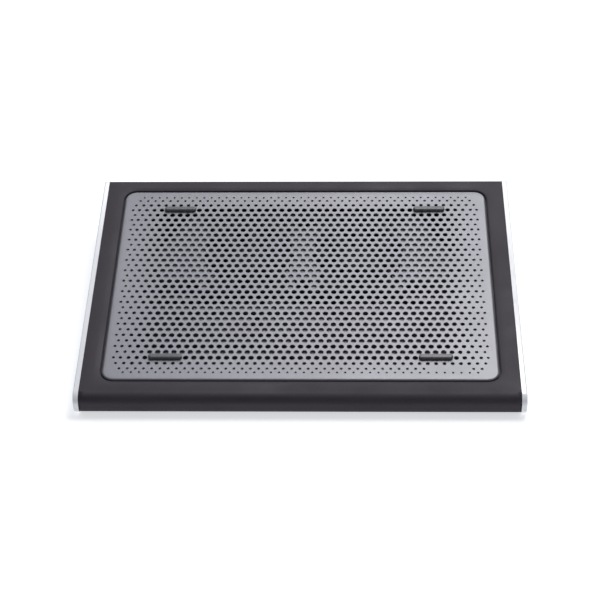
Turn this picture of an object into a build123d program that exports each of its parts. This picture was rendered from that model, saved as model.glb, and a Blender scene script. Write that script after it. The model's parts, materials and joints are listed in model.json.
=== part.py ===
from build123d import *

import os
from math import cos, radians, sin, tan

os.makedirs("parts", exist_ok=True)

# A wedge-shaped cooling mat for a laptop: a soft black body between two white end caps carries a
# perforated metal plate, and a vented tray under the plate holds two fans. Millimetres, +Z up,
# +Y to the high rear edge, +X to the right. The origin is at the middle of the outline, on the
# surface that the mat stands on.

# Outline
overall_width = 400.0
cap_thickness = 5.0
cap_proud = 0.5
cap_edge = 1.6
deck_tilt = 7.5
deck_height = 39.2
front_reach = 147.0
rear_reach = 141.0
grip_height = 1.5
skin = 3.5
nose_radius = 9.0
toe_radius = 6.0
heel_radius = 4.0
crest_radius = 2.0
pad_gap = 0.1
pad_bevel = 1.0
grip_length = 300.0
grip_width = 12.0
grip_inset = 16.0
grip_bevel = 0.4
cap_gap = 0.2
cap_wall = 1.5
cap_wall_reach = 6.0
cap_pegs = ((-110.0, 14.0), (0.0, 20.0), (118.0, 34.0))
cap_peg_radius = 3.0

# Perforated plate
plate_length = 354.0
plate_depth = 250.0
plate_corner = 11.0
plate_gauge = 1.2
plate_rim = 3.0
plate_roll = 2.0
groove = 1.0
hole_pitch = 7.35
row_pitch = 7.0
full_hole = 5.0
end_hole = 2.6
hole_growth = 0.48
last_even_row = 14
edge_rows = {15: (104.9, 22.5, 3.5), 16: (111.3, 22.0, 2.5), 17: (115.9, 21.5, 2.0)}
blank_row = -16
blank_from = 115.0
blank_to = 150.0
end_pull = 0.0065

# Rubber stops
stop_x = 121.3
stop_length = 30.5
stop_width = 5.6
stop_rise = 3.0
stop_round = 1.5
stop_peg_radius = 1.6
stop_peg_reach = 2.4
stop_peg_spread = 16.0

# Tray, inner frame and floor
tray_gauge = 2.0
frame_depth = 5.5
frame_margin_x = 186.5
frame_margin_y = 136.5
window_x = 168.0
window_y = 116.0
frame_corner = 6.0
window_corner = 8.0
tray_seat_gap = 0.3
tray_gap = 0.1
floor_gauge = 2.5
floor_wall = 2.0
floor_wall_height = 5.0
floor_inset = 2.5
boss_radius = 4.5
case_boss_x = 181.5
case_boss_y = 131.5
case_boss_mid = 60.0
screw_radius = 1.5
screw_head_radius = 2.9
screw_head_height = 1.8
screw_clearance = 0.1
screw_slot = 0.7
screw_slot_share = 1.2
case_screw_shank = 9.0

# Openings of the tray: one bay round the fans, crossed by webs and ribs, then slats in front of it
bay_reach = 150.0
bay_rear = 114.0
bay_front = -31.5
bay_corner = 12.0
outer_web = (
    (84, 8), (90, 3), (134, 3), (142, 20), (151, 23), (151, 33), (142, 36), (130, 52), (122, 72),
    (116, 86), (104, 93), (97, 78), (90, 66),
)
centre_web = ((8, 4), (17, 13), (13, 57), (8, 72))
rear_rib_y = 91.0
rear_rib_width = 4.0
rear_rib_reach = 105.0
rear_rib_gap = 7.0
rib_overlap = 4.0
front_rib_y = -9.0
front_rib_width = 2.4
side_rib_y = -21.0
side_rib_start = 98.0
ear_pad_radius = 5.0
ear_arm = 6.0
ear_arm_length = 16.0
slat_pitch = 28.0
slat_count = 3
slat_reach = 150.0
slat_slit = 4.0
slat_slit_drop = 9.0
slat_gap = 7.0
slat_gap_drop = 24.0
cross_slit = 3.0
cross_slit_length = 7.0
cross_slit_drops = (3.0, 15.0)
cross_slits = (23.5, 80.5, 101.5)
cross_ribs = (12.0, 64.0, 92.0, 132.0)
tray_rib_depth = 4.0
tray_screw_x = (41.5, 114.0)
tray_screw_y = -47.5
tray_boss_depth = 4.0
tray_screw_shank = 9.0
floor_rib_x = (-110.0, 0.0, 110.0)

# Fans
fan_x = 52.0
fan_y = 38.0
fan_size = 92.0
fan_corner = 4.0
fan_depth = 15.0
fan_flange = 2.5
fan_duct = 43.0
fan_duct_wall = 2.0
fan_screw_pitch = 82.5
strut_count = 4
strut_width = 4.0
strut_gauge = 2.0
blade_count = 9
blade_gauge = 1.3
blade_tip = 41.6
blade_bow = 0.09
blade_sections = ((16.0, 50.0, 12.0), (29.3, 38.0, 17.0), (42.6, 27.0, 20.0))
hub_radius = 17.0
hub_wall = 1.5
hub_top = -2.5
hub_height = 10.0
hub_edge = 1.2
hub_seat = 0.5
motor_board_radius = 13.6
motor_board_gauge = 1.0
shaft_radius = 1.5
bearing_radius = 3.5
running_gap = 0.05
core_radius = 12.6
core_bottom = -10.5
core_height = 3.5
coil_inner = 6.2
coil_outer = 10.2
coil_width = 7.0
coil_gauge = 1.2
tube_radius = 4.7
slot_centre = 8.6
slot_radial = 4.4
slot_across = 8.0
magnet_bore = 13.9
pole_count = 4
pole_gap_depth = 3.2
pole_gap = 2.0
slot_corner = 1.5
shaft_end_gap = 0.2
small_bevel = 0.3
hub_boss_radius = 3.2
hub_boss_depth = 1.5
bearing_top = -6.2
bearing_bottom = -14.0
gland_reach = 50.0
gland_width = 7.0
gland_height = 6.0

# Intake guards under the fans
guard_radius = 46.0
guard_flange = 4.0
guard_flange_gauge = 1.2
guard_gap = 0.2
guard_rings = (12.0, 19.5, 27.0, 34.5)
guard_ring_width = 2.0
guard_spokes = 6
guard_eye = 6.0
guard_wall = 2.0
guard_bottom = 2.3

# Rear vents and power inlet
vent_x = 92.0
vent_length = 110.0
vent_height = 16.0
vent_drop = 27.0
vent_lip = 1.0
vent_inset = 5.0
vent_flange = 2.0
vent_corner = 2.0
vent_gap = 0.1
vent_bevel = 0.4
vent_bar = 2.4
vent_columns = 8
vent_rows = 3
vent_slot = 3.0
vent_slot_pitch = 4.8
inlet_drop = 27.0
inlet_width = 15.0
inlet_height = 10.0
socket_width = 7.7
socket_height = 4.0
socket_length = 9.0
socket_gauge = 0.4
socket_cut = 1.1
socket_gap = 0.2
socket_back = 2.5
tongue_width = 4.6
tongue_gauge = 1.0
board_length = 26.0
board_depth = 20.0
board_gauge = 1.6
board_hole_x = 9.5
board_hole_y = 4.5
board_screw_shank = 7.0
board_screw_head = 2.4
board_gap = 0.6
chip_size = 5.0
chip_gauge = 1.4
can_x = 9.5
can_y = 4.0
can_radius = 2.0
can_height = 5.0
stand_depth = 7.0
plug_width = 5.0
plug_depth = 6.0
plug_height = 4.5
lead_start = 9.5
stand_gap = 10.0
lead_radius = 1.2
lead_x = 3.2
plug_y = -6.8

# Worked-out sizes
body_half = overall_width / 2 - cap_thickness
rise = sin(radians(deck_tilt))
run = cos(radians(deck_tilt))
heel_drop = (deck_height + rear_reach * rise - grip_height) / run
front_edge = -front_reach * run
heel_loss = heel_radius * ((1 + rise) / run - 1)
rear_edge = rear_reach * run + heel_drop * rise - heel_loss
deck_shift = -(front_edge + rear_edge) / 2
half_depth = (rear_edge - front_edge) / 2
floor_bottom = grip_height + skin
floor_top = floor_bottom + floor_gauge
tray_top = -plate_rim
tray_bottom = tray_top - tray_gauge
frame_top = -skin
frame_bottom = frame_top - frame_depth


def deck_point(x, y, z=0.0):
    """World point of a point given on the sloping deck."""
    return Vector(x, deck_shift + y * run - z * rise, deck_height + y * rise + z * run)


def sloping(x, y, z=0.0):
    """Plane parallel to the deck through a point given on the deck."""
    return Plane(origin=deck_point(x, y, z), x_dir=(1, 0, 0), z_dir=(0, -rise, run))


deck = sloping(0, 0)
rear_face = Plane(origin=deck_point(0, rear_reach), x_dir=(-1, 0, 0), z_dir=(0, run, rise))
sides = {"left": -1, "right": 1}
hanging = (Align.CENTER, Align.CENTER, Align.MAX)


def save(builder, name):
    """Label a finished piece and write its STEP file."""
    builder.part.label = name
    export_step(builder.part, f"parts/{name}.step")


def wedge(grow):
    """Draw the mat's side outline, moved outward by grow, in the active sketch on a YZ plane."""
    rear_top = deck_point(0, rear_reach)
    with BuildSketch(mode=Mode.PRIVATE) as outline:
        with BuildLine():
            Polyline(
                (-half_depth, deck_height - front_reach * rise),
                (-half_depth, grip_height),
                (half_depth + heel_loss, grip_height),
                (rear_top.Y, rear_top.Z),
                close=True,
            )
        make_face()
        if grow:
            offset(amount=grow, kind=Kind.INTERSECTION)
        front = outline.vertices().sort_by(Axis.X)[:2].sort_by(Axis.Y)
        rear = outline.vertices().sort_by(Axis.X)[2:].sort_by(Axis.Y)
        radii = (toe_radius, nose_radius, heel_radius, crest_radius)
        for corner, radius in zip([*front, *rear], radii):
            nearest = outline.vertices().sort_by_distance(corner)[0]
            fillet(nearest, max(radius + grow, small_bevel))
    add(outline.sketch)


# Soft black cover: one skin over the top border, the nose, the back and the bottom edges.
fan_centres = {name: deck_point(side * fan_x, fan_y) for name, side in sides.items()}
pad_half_depth = half_depth - toe_radius - skin
with BuildPart() as cover:
    with BuildSketch(Plane.YZ.offset(-body_half)):
        wedge(0)
    extrude(amount=2 * body_half)
    with BuildSketch(Plane.YZ.offset(-body_half)):
        wedge(-skin)
    extrude(amount=2 * body_half, mode=Mode.SUBTRACT)
    with BuildSketch(deck.offset(-2 * skin)):
        RectangleRounded(plate_length + 2 * groove, plate_depth + 2 * groove, plate_corner + groove)
    extrude(amount=3 * skin, mode=Mode.SUBTRACT)
    with BuildSketch(Plane.XY):
        Rectangle(2 * body_half, 2 * pad_half_depth)
    extrude(amount=floor_bottom + 1, mode=Mode.SUBTRACT)
    with BuildSketch(rear_face.offset(-2 * skin)):
        with Locations((-vent_x, -vent_drop), (vent_x, -vent_drop)):
            RectangleRounded(vent_length, vent_height, vent_corner)
        with Locations((0, -inlet_drop)):
            RectangleRounded(inlet_width, inlet_height, vent_corner)
    extrude(amount=3 * skin, mode=Mode.SUBTRACT)
save(cover, "soft_cover")

# Soft pad that closes the underside, with an opening under each fan.
with BuildPart() as base_pad:
    with BuildSketch(Plane.XY.offset(grip_height)):
        Rectangle(2 * (body_half - pad_gap), 2 * (pad_half_depth - pad_gap))
        for centre in fan_centres.values():
            with Locations((centre.X, centre.Y)):
                Circle(guard_radius, mode=Mode.SUBTRACT)
    extrude(amount=skin)
    openings = base_pad.edges().filter_by(GeomType.CIRCLE).group_by(Axis.Z)[0]
    chamfer(openings, pad_bevel)
save(base_pad, "base_pad")

# Rubber grips that the mat stands on.
grip_y = pad_half_depth - grip_inset
for name, y in (("grip_front", -grip_y), ("grip_rear", grip_y)):
    with BuildPart() as grip:
        with BuildSketch(Plane.XY):
            with Locations((0, y)):
                SlotOverall(grip_length, grip_width)
        extrude(amount=grip_height)
        chamfer(grip.faces().sort_by(Axis.Z)[0].edges(), grip_bevel)
    save(grip, name)

# White end caps: a plate in the shape of the side, with a locating wall and pegs on its inner face.
for name, side in sides.items():
    with BuildPart() as cap:
        with BuildSketch(Plane.YZ.offset(side * body_half)):
            wedge(cap_proud)
        extrude(amount=side * cap_thickness)
        outer_face = cap.faces().sort_by(Axis.X)[-1 if side > 0 else 0]
        fillet(outer_face.edges(), cap_edge)
        with BuildSketch(Plane.YZ.offset(side * body_half)):
            wedge(-skin - cap_gap)
        extrude(amount=-side * cap_wall_reach)
        with BuildSketch(Plane.YZ.offset(side * body_half)):
            wedge(-skin - cap_gap - cap_wall)
        extrude(amount=-side * cap_wall_reach, mode=Mode.SUBTRACT)
        with BuildSketch(Plane.YZ.offset(side * body_half)):
            with Locations(*cap_pegs):
                Circle(cap_peg_radius)
        extrude(amount=-side * cap_wall_reach)
    save(cap, f"end_cap_{name}")


# Stiff inner frame under the top border; it carries the tray and the plate, and its legs reach
# down to the floor shell.
case_bosses = [(sx * case_boss_x, y) for sx in (-1, 1) for y in (-case_boss_y, 0, case_boss_y)]
case_bosses += [(sx * case_boss_mid, sy * case_boss_y) for sx in (-1, 1) for sy in (-1, 1)]
with BuildPart() as inner_frame:
    with BuildSketch(Plane.XY.offset(floor_top)):
        with Locations(*case_bosses):
            Circle(boss_radius)
    extrude(amount=2 * deck_height)
    with BuildSketch(deck.offset((frame_top + frame_bottom) / 2)):
        Rectangle(overall_width, overall_width)
    extrude(amount=2 * deck_height, mode=Mode.SUBTRACT)
    with BuildSketch(deck.offset(frame_bottom)):
        RectangleRounded(2 * frame_margin_x, 2 * frame_margin_y, frame_corner)
        RectangleRounded(2 * window_x, 2 * window_y, window_corner, mode=Mode.SUBTRACT)
    extrude(amount=frame_depth)
    with BuildSketch(deck.offset(tray_bottom)):
        RectangleRounded(plate_length + 2 * tray_seat_gap, plate_depth + 2 * tray_seat_gap, plate_corner)
    extrude(amount=2 * tray_gauge, mode=Mode.SUBTRACT)
    with BuildSketch(Plane.XY.offset(floor_top)):
        with Locations(*case_bosses):
            Circle(screw_radius)
    extrude(amount=case_screw_shank, mode=Mode.SUBTRACT)
save(inner_frame, "inner_frame")

# Floor shell: stiff bottom with a rim, fan intakes, stiffening ribs and columns under the tray.
floor_x = frame_margin_x
floor_y = half_depth - skin - floor_inset
tray_columns = [deck_point(sx * x, tray_screw_y) for sx in (-1, 1) for x in tray_screw_x]
column_places = [(point.X, point.Y) for point in tray_columns]
column_top = tray_bottom - tray_boss_depth
with BuildPart() as floor_shell:
    with BuildSketch(Plane.XY.offset(floor_top)):
        with Locations(*column_places):
            Circle(boss_radius)
    extrude(amount=2 * deck_height)
    with BuildSketch(deck.offset(column_top)):
        Rectangle(overall_width, overall_width)
    extrude(amount=2 * deck_height, mode=Mode.SUBTRACT)
    with BuildSketch(Plane.XY.offset(floor_bottom)):
        RectangleRounded(2 * floor_x, 2 * floor_y, frame_corner)
    extrude(amount=floor_gauge)
    with BuildSketch(Plane.XY.offset(floor_top)):
        RectangleRounded(2 * floor_x, 2 * floor_y, frame_corner)
        inside = (2 * (floor_x - floor_wall), 2 * (floor_y - floor_wall))
        RectangleRounded(*inside, frame_corner - floor_wall, mode=Mode.SUBTRACT)
        for x in floor_rib_x:
            with Locations((x, -boss_radius)):
                Rectangle(floor_wall, 2 * floor_y - 6 * boss_radius)
        with Locations(*case_bosses):
            Circle(boss_radius + screw_clearance, mode=Mode.SUBTRACT)
    extrude(amount=floor_wall_height)
    with BuildSketch(Plane.XY):
        for centre in fan_centres.values():
            with Locations((centre.X, centre.Y)):
                Circle(guard_radius)
        with Locations(*case_bosses):
            Circle(screw_radius + screw_clearance)
    extrude(amount=floor_top + floor_wall_height, mode=Mode.SUBTRACT)
    with BuildSketch(Plane.XY.offset(floor_bottom)):
        with Locations(*case_bosses):
            Circle(screw_head_radius + screw_clearance)
    extrude(amount=screw_head_height, mode=Mode.SUBTRACT)
    for point in tray_columns:
        with BuildSketch(sloping(point.X, tray_screw_y, column_top)):
            Circle(screw_radius)
        extrude(amount=-tray_screw_shank, mode=Mode.SUBTRACT)
save(floor_shell, "floor_shell")


def screw_set(name, bases, shank, head_radius):
    """A set of alike cross-headed screws: each plane holds a head's underside, the head above it."""
    with BuildPart() as screws:
        for base in bases:
            with BuildSketch(base):
                Circle(head_radius)
            extrude(amount=screw_head_height)
            with BuildSketch(base):
                Circle(screw_radius)
            extrude(amount=-shank)
            with BuildSketch(base.offset(screw_head_height / 2)):
                Rectangle(head_radius * screw_slot_share, screw_slot)
                Rectangle(screw_slot, head_radius * screw_slot_share)
            extrude(amount=screw_head_height, mode=Mode.SUBTRACT)
    save(screws, name)


head_seat = floor_bottom + screw_head_height
downward = [Plane(origin=(x, y, head_seat), x_dir=(1, 0, 0), z_dir=(0, 0, -1)) for x, y in case_bosses]
screw_set("case_screws", downward, case_screw_shank, screw_head_radius)

# Vented tray under the plate: one light skin with openings, slats, webs and ribs.
ears = fan_screw_pitch / 2
fan_ears = [
    (side * fan_x + sx * ears, fan_y + sy * ears)
    for side in sides.values()
    for sx in (-1, 1)
    for sy in (-1, 1)
]


def mirrored_polygon(points):
    """Add a polygon and its mirror image across the middle of the mat to the active sketch."""
    Polygon(*points, align=None)
    Polygon(*[(-x, y) for x, y in points], align=None)


rib_start = bay_front
rib_end = bay_front - slat_pitch * slat_count
with BuildPart() as tray:
    with BuildSketch(deck.offset(tray_bottom)):
        outer = (plate_length - 2 * tray_gap, plate_depth - 2 * tray_gap)
        RectangleRounded(*outer, plate_corner - 2 * tray_gap)
        with Locations((0, (bay_rear + bay_front) / 2)):
            RectangleRounded(2 * bay_reach, bay_rear - bay_front, bay_corner, mode=Mode.SUBTRACT)
        mirrored_polygon(outer_web)
        mirrored_polygon([(0, centre_web[0][1]), *centre_web, (0, centre_web[-1][1])])
        with Locations(*[(side * fan_x, fan_y) for side in sides.values()]):
            Circle(fan_duct, mode=Mode.SUBTRACT)
        with Locations((0, rear_rib_y)):
            Rectangle(2 * rear_rib_reach, rear_rib_width)
        with Locations((0, front_rib_y)):
            Rectangle(2 * bay_reach + rib_overlap, front_rib_width)
        for side in sides.values():
            with Locations((side * (side_rib_start + bay_reach) / 2, side_rib_y)):
                Rectangle(bay_reach - side_rib_start + rib_overlap, front_rib_width)
            for across, along in ((-1, 1), (-1, -1), (1, 1), (1, -1)):
                ear_x = side * fan_x + across * ears
                ear_y = fan_y + along * ears
                with Locations((ear_x, ear_y)):
                    Circle(ear_pad_radius)
                with Locations((ear_x, ear_y - along * ear_arm_length / 2)):
                    Rectangle(ear_arm, ear_arm_length)
        with Locations((0, rear_rib_y)):
            Rectangle(rear_rib_gap, 2 * rear_rib_width, mode=Mode.SUBTRACT)
    extrude(amount=tray_gauge)
    # Slats: a narrow slit inside each slat and a wide gap in front of it.
    with BuildSketch(deck.offset(tray_bottom)):
        for index in range(slat_count):
            top = bay_front - index * slat_pitch
            with Locations((0, top - slat_slit_drop)):
                SlotOverall(2 * slat_reach, slat_slit)
            if index < slat_count - 1:
                with Locations((0, top - slat_gap_drop)):
                    SlotOverall(2 * slat_reach, slat_gap)
            for x in cross_slits:
                with Locations(*[(sx * x, top - drop) for sx in (-1, 1) for drop in cross_slit_drops]):
                    Rectangle(cross_slit, cross_slit_length)
    extrude(amount=tray_gauge, mode=Mode.SUBTRACT)
    # Stiffening ribs and screw bosses below the skin.
    with BuildSketch(deck.offset(tray_bottom)):
        for x in cross_ribs:
            with Locations((x, (rib_start + rib_end) / 2), (-x, (rib_start + rib_end) / 2)):
                Rectangle(floor_wall, rib_start - rib_end)
        with Locations(*[(sx * x, tray_screw_y) for sx in (-1, 1) for x in tray_screw_x]):
            Circle(boss_radius)
    extrude(amount=-tray_rib_depth)
    with BuildSketch(deck.offset(tray_top)):
        with Locations(*[(sx * x, tray_screw_y) for sx in (-1, 1) for x in tray_screw_x]):
            Circle(screw_head_radius + screw_clearance)
    extrude(amount=-tray_gauge, mode=Mode.SUBTRACT)
    with BuildSketch(deck.offset(tray_top)):
        with Locations(*[(sx * x, tray_screw_y) for sx in (-1, 1) for x in tray_screw_x]):
            Circle(screw_radius + screw_clearance)
        with Locations(*fan_ears):
            Circle(screw_radius)
    extrude(amount=-tray_gauge - tray_boss_depth, mode=Mode.SUBTRACT)
save(tray, "vent_tray")

tray_heads = [sloping(sx * x, tray_screw_y, tray_bottom) for sx in (-1, 1) for x in tray_screw_x]
screw_set("tray_screws", tray_heads, tray_boss_depth + tray_screw_shank - 1, screw_head_radius)

# Perforated plate: a sheet with its rim rolled down, rows of holes that shrink towards the edges.
stop_places = [(sx * stop_x, sy * last_even_row * row_pitch) for sx in (-1, 1) for sy in (-1, 1)]


def row_layout(row):
    """Place on the deck, half count of holes and widest hole of a row counted from the middle."""
    distance = abs(row)
    if distance in edge_rows:
        y, half_count, widest = edge_rows[distance]
        return (y if row > 0 else -y), half_count, widest
    return row * row_pitch, (23.0 if row % 2 == 0 else 22.5), full_hole


def plate_holes():
    """All holes of the plate, as a dictionary of diameter to places on the deck."""
    holes = {}
    for row in range(-17, 18):
        y, half_count, widest = row_layout(row)
        count = int(2 * half_count) + 1
        for index in range(count):
            x = (index - half_count) * hole_pitch
            from_end = min(index, count - 1 - index)
            if from_end == 0 and row % 2 == 0 and half_count == 23.0:
                x *= 1 - end_pull
            under_stop = abs(row) == last_even_row and abs(abs(x) - stop_x) < stop_length / 2
            blank = row == blank_row and blank_from < x < blank_to
            if under_stop or blank:
                continue
            diameter = round(min(widest, end_hole + hole_growth * from_end), 2)
            holes.setdefault(diameter, []).append((x, y))
    return holes


# Rubber stops that keep a laptop from sliding: a rounded bar with two pegs through the plate.
stop_names = ("stop_front_left", "stop_rear_left", "stop_front_right", "stop_rear_right")
for name, (x, y) in zip(stop_names, stop_places):
    with BuildPart() as stop:
        with BuildSketch(sloping(x, y)):
            RectangleRounded(stop_length, stop_width, stop_width / 2 - 0.1)
        extrude(amount=stop_rise)
        stop_top = stop.faces().filter_by(lambda f: f.normal_at().dot(deck.z_dir) > 0.999)
        fillet(stop_top.edges(), stop_round)
        with BuildSketch(sloping(x, y)):
            with Locations((-stop_peg_spread / 2, 0), (stop_peg_spread / 2, 0)):
                Circle(stop_peg_radius)
        extrude(amount=-stop_peg_reach)
    save(stop, name)

# Fans: each hangs under the tray with its own frame, motor and rotor. Heights are measured from
# the top of the fan frame, which touches the underside of the tray.
strut_top = strut_gauge - fan_depth
hub_floor = hub_top - hub_height
blade_middle = (hub_top + hub_floor) / 2


def make_blade():
    """One fan blade along +X, pitched steeply at the hub and flatter at the tip."""
    with BuildPart() as blade:
        for radius, pitch, chord in blade_sections:
            section = Plane(
                origin=(radius, 0, blade_middle),
                x_dir=(0, cos(radians(pitch)), sin(radians(pitch))),
                z_dir=(1, 0, 0),
            )
            with BuildSketch(section):
                with BuildLine():
                    half = chord / 2
                    bow = chord * blade_bow
                    ThreePointArc((-half, 0), (0, bow + blade_gauge / 2), (half, 0))
                    ThreePointArc((half, 0), (0, bow - blade_gauge / 2), (-half, 0))
                make_face()
        loft()
    return blade.part


def make_fan(side_name, place):
    """All pieces of one fan on a plane at the top of its frame."""
    half_size = fan_size / 2
    with BuildPart() as frame:
        with BuildSketch(place):
            RectangleRounded(fan_size, fan_size, fan_corner)
        extrude(amount=-fan_depth)
        with BuildSketch(place.offset(-fan_flange)):
            Rectangle(fan_size + 2, fan_size + 2)
            Circle(fan_duct + fan_duct_wall, mode=Mode.SUBTRACT)
        extrude(amount=-fan_depth + 2 * fan_flange, mode=Mode.SUBTRACT)
        with BuildSketch(place):
            Circle(fan_duct)
            with GridLocations(fan_screw_pitch, fan_screw_pitch, 2, 2):
                Circle(screw_radius + screw_clearance)
        extrude(amount=-fan_depth, mode=Mode.SUBTRACT)
        with BuildSketch(place.offset(-fan_depth)):
            Circle(hub_radius + hub_seat)
            with PolarLocations((hub_radius + fan_duct) / 2, strut_count, start_angle=45):
                Rectangle(fan_duct - hub_radius + 2, strut_width)
            Circle(bearing_radius, mode=Mode.SUBTRACT)
        extrude(amount=strut_gauge)
        with BuildSketch(place.offset(-fan_depth)):
            Circle(bearing_radius)
        extrude(amount=fan_depth + bearing_bottom)
        with BuildSketch(place.offset(strut_top)):
            Circle(tube_radius)
            Circle(bearing_radius, mode=Mode.SUBTRACT)
        extrude(amount=bearing_top - strut_top)
        with BuildSketch(place.offset(-fan_depth / 2 - gland_height / 2)):
            with Locations((0, (gland_reach + fan_duct + 1) / 2)):
                Rectangle(gland_width, gland_reach - fan_duct - 1)
        extrude(amount=gland_height)
    save(frame, f"fan_frame_{side_name}")

    with BuildPart() as bearing:
        with BuildSketch(place.offset(bearing_bottom)):
            Circle(bearing_radius)
            Circle(shaft_radius + running_gap, mode=Mode.SUBTRACT)
        extrude(amount=bearing_top - bearing_bottom)
        chamfer(bearing.edges().filter_by(GeomType.CIRCLE).sort_by(SortBy.RADIUS)[-1], small_bevel)
    save(bearing, f"fan_bearing_{side_name}")

    with BuildPart() as board:
        with BuildSketch(place.offset(strut_top)):
            Circle(motor_board_radius)
            Circle(tube_radius, mode=Mode.SUBTRACT)
        extrude(amount=motor_board_gauge)
    save(board, f"fan_board_{side_name}")

    with BuildPart() as core:
        with BuildSketch(place.offset(core_bottom)):
            Circle(core_radius)
            with PolarLocations(core_radius, pole_count, start_angle=45):
                Rectangle(pole_gap_depth, pole_gap, mode=Mode.SUBTRACT)
            with PolarLocations(slot_centre, pole_count, start_angle=45):
                RectangleRounded(slot_radial, slot_across, slot_corner, mode=Mode.SUBTRACT)
            Circle(tube_radius, mode=Mode.SUBTRACT)
        extrude(amount=core_height)
    save(core, f"fan_core_{side_name}")

    with BuildPart() as coils:
        for height in (core_bottom - coil_gauge, core_bottom + core_height):
            with BuildSketch(place.offset(height)):
                with PolarLocations((coil_inner + coil_outer) / 2, pole_count):
                    Rectangle(coil_outer - coil_inner, coil_width)
            extrude(amount=coil_gauge)
    save(coils, f"fan_coils_{side_name}")

    with BuildPart(place) as rotor:
        with Locations((0, 0, hub_top)):
            Cylinder(hub_radius, hub_height, align=hanging)
        fillet(rotor.edges().filter_by(GeomType.CIRCLE).sort_by(Axis.Z)[-1], hub_edge)
        with PolarLocations(0, blade_count):
            add(blade)
        Cylinder(blade_tip, fan_depth, align=hanging, mode=Mode.INTERSECT)
        with Locations((0, 0, hub_top - hub_wall)):
            Cylinder(hub_radius - hub_wall, hub_height, align=hanging, mode=Mode.SUBTRACT)
            Cylinder(hub_boss_radius, hub_boss_depth, align=hanging)
            Cylinder(shaft_radius, hub_boss_depth, align=hanging, mode=Mode.SUBTRACT)
    save(rotor, f"fan_rotor_{side_name}")

    with BuildPart(place) as magnet:
        with Locations((0, 0, hub_top - hub_wall)):
            Cylinder(hub_radius - hub_wall, hub_height - hub_wall, align=hanging)
            Cylinder(magnet_bore, hub_height, align=hanging, mode=Mode.SUBTRACT)
    save(magnet, f"fan_magnet_{side_name}")

    with BuildPart(place) as shaft:
        with Locations((0, 0, hub_top - hub_wall)):
            Cylinder(shaft_radius, hub_top - hub_wall - bearing_bottom - shaft_end_gap, align=hanging)
        chamfer(shaft.edges().filter_by(GeomType.CIRCLE).sort_by(Axis.Z)[0], small_bevel)
    save(shaft, f"fan_shaft_{side_name}")


blade = make_blade()
for side_name, side in sides.items():
    make_fan(side_name, sloping(side * fan_x, fan_y, tray_bottom))
ear_screws = [
    Plane(origin=deck_point(x, y, tray_bottom - fan_depth), x_dir=(1, 0, 0), z_dir=(0, rise, -run))
    for x, y in fan_ears
]
screw_set("fan_screws", ear_screws, fan_depth + tray_gauge, screw_head_radius)

# Intake guards: a ring with round bars and spokes in each opening of the floor.
for side_name, centre in fan_centres.items():
    with BuildPart() as guard:
        with BuildSketch(Plane.XY.offset(guard_bottom)):
            with Locations((centre.X, centre.Y)):
                Circle(guard_radius - guard_gap)
                Circle(guard_radius - guard_gap - guard_wall, mode=Mode.SUBTRACT)
        extrude(amount=floor_top - guard_bottom)
        with BuildSketch(Plane.XY.offset(floor_top)):
            with Locations((centre.X, centre.Y)):
                Circle(guard_radius + guard_flange)
                Circle(guard_radius - guard_gap - guard_wall, mode=Mode.SUBTRACT)
        extrude(amount=guard_flange_gauge)
        with BuildSketch(Plane.XY.offset(guard_bottom)):
            with Locations((centre.X, centre.Y)):
                for radius in reversed(guard_rings):
                    Circle(radius + guard_ring_width)
                    Circle(radius, mode=Mode.SUBTRACT)
                Circle(guard_eye)
                with PolarLocations((guard_eye + guard_radius) / 2 - 1, guard_spokes):
                    Rectangle(guard_radius - guard_eye, guard_ring_width)
        extrude(amount=guard_ring_width)
    save(guard, f"intake_guard_{side_name}")

# Rear vents: a louvred insert in each long opening of the back.
for side_name, side in sides.items():
    with BuildPart() as vent:
        for depth, grow in ((0, 2 * vent_flange), (-vent_inset, -2 * vent_gap)):
            with BuildSketch(rear_face.offset(depth)):
                with Locations((-side * vent_x, -vent_drop)):
                    RectangleRounded(vent_length + grow, vent_height + grow, vent_corner)
            extrude(amount=vent_lip if depth == 0 else vent_inset)
        lip = vent.faces().filter_by(lambda f: f.normal_at().dot(rear_face.z_dir) > 0.999)
        chamfer(lip.edges(), vent_bevel)
        with BuildSketch(rear_face.offset(vent_lip)):
            with Locations((-side * vent_x, -vent_drop)):
                with GridLocations(vent_length / vent_columns, vent_slot_pitch, vent_columns, vent_rows):
                    SlotOverall(vent_length / vent_columns - vent_bar, vent_slot)
        extrude(amount=-vent_lip - vent_inset, mode=Mode.SUBTRACT)
    save(vent, f"rear_vent_{side_name}")

# Power inlet: a bezel in the back, a metal socket with its insert, and a board on a stand.
with BuildPart() as bezel:
    with BuildSketch(rear_face):
        with Locations((0, -inlet_drop)):
            RectangleRounded(inlet_width + 2 * vent_flange, inlet_height + 2 * vent_flange, vent_corner)
    extrude(amount=vent_lip)
    lip = bezel.faces().filter_by(lambda f: f.normal_at().dot(rear_face.z_dir) > 0.999)
    chamfer(lip.edges(), vent_bevel)
    with BuildSketch(rear_face):
        with Locations((0, -inlet_drop)):
            RectangleRounded(inlet_width - 2 * vent_gap, inlet_height - 2 * vent_gap, vent_corner)
    extrude(amount=-skin)
    with BuildSketch(rear_face.offset(vent_lip)):
        with Locations((0, -inlet_drop)):
            Rectangle(socket_width + 2 * socket_gap, socket_height + 2 * socket_gap)
    extrude(amount=-vent_lip - skin, mode=Mode.SUBTRACT)
save(bezel, "inlet_bezel")


def socket_outline(shrink):
    """Outline of the power socket: a box with its two lower corners cut off."""
    half_width = socket_width / 2 - shrink
    half_height = socket_height / 2 - shrink
    Polygon(
        (-half_width, half_height - inlet_drop),
        (-half_width, -half_height + socket_cut - inlet_drop),
        (-half_width + socket_cut, -half_height - inlet_drop),
        (half_width - socket_cut, -half_height - inlet_drop),
        (half_width, -half_height + socket_cut - inlet_drop),
        (half_width, half_height - inlet_drop),
        align=None,
    )


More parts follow.
